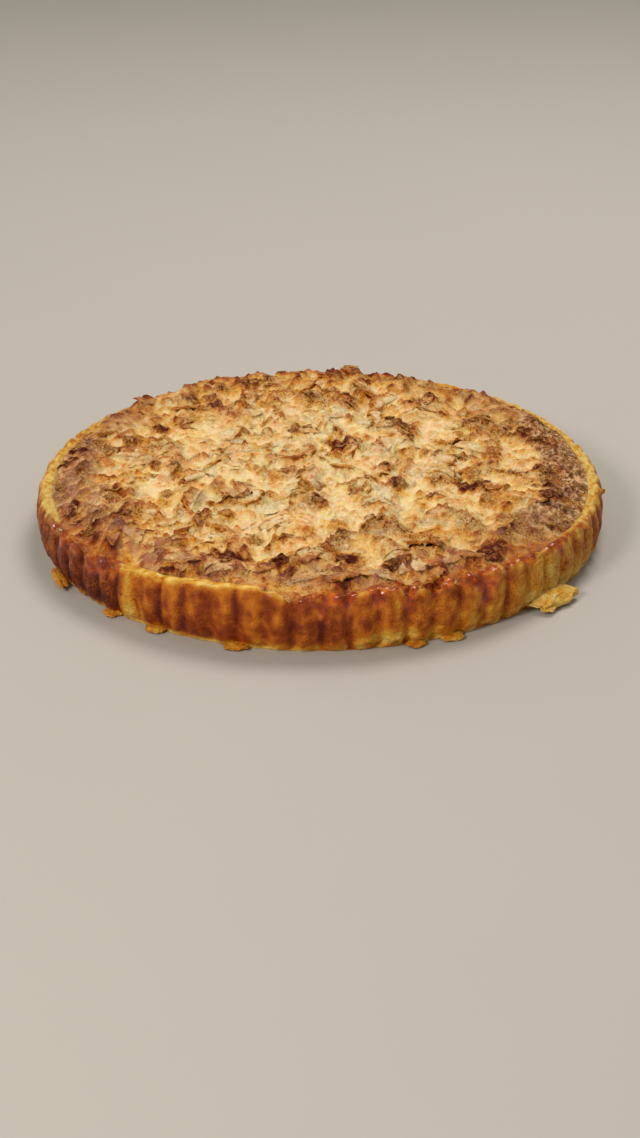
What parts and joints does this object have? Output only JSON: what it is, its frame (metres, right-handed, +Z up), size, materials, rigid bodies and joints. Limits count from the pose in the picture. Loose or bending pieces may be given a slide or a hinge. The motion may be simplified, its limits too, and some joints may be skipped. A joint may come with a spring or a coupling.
{
  "type": "apple tart",
  "caption": "Round apple tart: a shallow fluted pastry case filled to the rim with custard and browned apple slices, made to rest flat on its base.",
  "frame": {"origin": "middle of the flat underside", "axes": "+Z up out of the filling, -Y towards the side shown at the front, +X to its right"},
  "size_m": [0.2498, 0.2479, 0.035],
  "materials": {
    "pastry": "baked shortcrust pastry, golden on the ribs and dark brown in the valleys, with a thin sticky glaze of juice in places",
    "custard": "baked custard over thin apple slices, cream in the middle, tan towards the rim, with dark brown tips"
  },
  "bodies": {
    "root": {"pastry_case": "pastry", "apple_filling": "custard"}
  },
  "joints": []
}
